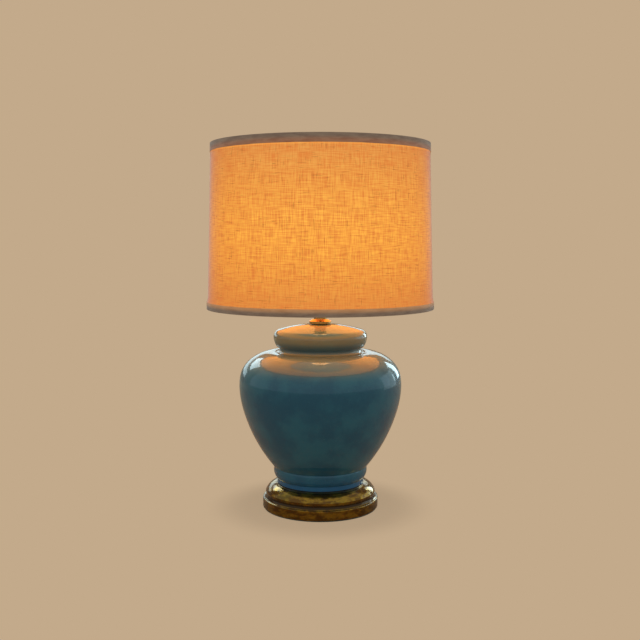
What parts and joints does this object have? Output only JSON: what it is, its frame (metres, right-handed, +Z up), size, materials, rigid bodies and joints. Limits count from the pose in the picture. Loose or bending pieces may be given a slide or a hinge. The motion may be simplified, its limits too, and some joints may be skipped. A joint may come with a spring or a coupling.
{
  "type": "ginger jar table lamp",
  "caption": "Table lamp with a lidded glazed ginger jar body on a stepped brass base, a harp and a tapered drum shade in slubbed linen with taped rims.",
  "frame": {"origin": "centre of the felt ring's underside, on the surface that the lamp stands on", "axes": "+Z up along the lamp's axis, -Y to the front, +Y to the cord outlet, +X to the switch knob"},
  "size_m": [0.4093, 0.4094, 0.6584],
  "materials": {
    "felt": "matt wool felt",
    "brass": "aged, polished and lacquered",
    "bushing_plastic": "moulded nylon",
    "zinc_steel": "zinc plated",
    "black_rubber": "matt",
    "teal_glaze": "glossy pooled glaze",
    "harp_brass": "plated wire",
    "socket_brass": "thin rolled shell",
    "fibre_board": "vulcanised fibre board",
    "phenolic": "moulded phenolic",
    "frosted_glass": "inside frosted",
    "clear_glass": "clear",
    "bulb_cap": "thin pressed",
    "vitrite": "black glass insulator",
    "tungsten": "drawn wire",
    "ring_steel": "off-white enamel",
    "styrene": "white styrene sheet",
    "linen": "slubbed open weave",
    "trim_tape": "folded woven tape"
  },
  "bodies": {
    "root": {"felt_ring": "felt", "base_shell": "brass", "cord_bushing": "bushing_plastic", "rod_washer": "zinc_steel", "lock_washer": "zinc_steel", "rod_nut": "zinc_steel", "lamp_rod": "zinc_steel", "foot_gasket": "black_rubber", "jar": "teal_glaze", "lid": "teal_glaze", "crown_washer": "black_rubber", "neck_seat": "brass", "check_ring": "brass", "spool_neck": "brass", "harp_saddle": "harp_brass", "socket_cap": "socket_brass", "cap_set_screw": "zinc_steel", "socket_shell": "socket_brass", "socket_liner": "fibre_board", "socket_core": "phenolic", "screw_shell": "socket_brass", "centre_contact": "socket_brass", "terminal_screws": "zinc_steel"},
    "switch": {"switch_shaft": "zinc_steel", "switch_knob": "phenolic"},
    "bulb": {"bulb_glass": "frosted_glass", "bulb_screw_base": "bulb_cap", "bulb_insulator": "vitrite", "bulb_tip": "bulb_cap", "bulb_stem": "clear_glass", "bulb_filament": "tungsten"},
    "harp": {"harp_wire": "harp_brass", "harp_stud": "harp_brass"},
    "lock_left": {"ferrule_left": "harp_brass"},
    "lock_right": {"ferrule_right": "harp_brass"},
    "shade": {"shade_spider": "ring_steel", "shade_bottom_ring": "ring_steel", "shade_liner": "styrene", "shade_linen": "linen", "trim_top": "trim_tape", "trim_bottom": "trim_tape"},
    "finial": {"finial": "brass"}
  },
  "joints": [
    {"name": "switch_turn", "type": "hinge", "parent": "root", "child": "switch", "pos_m": [0.0184, 0, 0.3935], "axis": [1, 0, 0], "continuous": true},
    {"name": "bulb_screw", "type": "hinge", "parent": "root", "child": "bulb", "pos_m": [0, 0, 0.42], "axis": [0, 0, 1], "range_deg": [0, 1080]},
    {"name": "harp_lift", "type": "slide", "parent": "root", "child": "harp", "axis": [0, 0, 1], "range_m": [0, 0.018]},
    {"name": "lock_left_slide", "type": "slide", "parent": "harp", "child": "lock_left", "axis": [0, 0, 1], "range_m": [0, 0.014]},
    {"name": "lock_right_slide", "type": "slide", "parent": "harp", "child": "lock_right", "axis": [0, 0, 1], "range_m": [0, 0.014]},
    {"name": "shade_turn", "type": "hinge", "parent": "harp", "child": "shade", "pos_m": [0, 0, 0.6277], "axis": [0, 0, 1], "continuous": true},
    {"name": "finial_screw", "type": "hinge", "parent": "harp", "child": "finial", "pos_m": [0, 0, 0.6292], "axis": [0, 0, 1], "continuous": true}
  ]
}
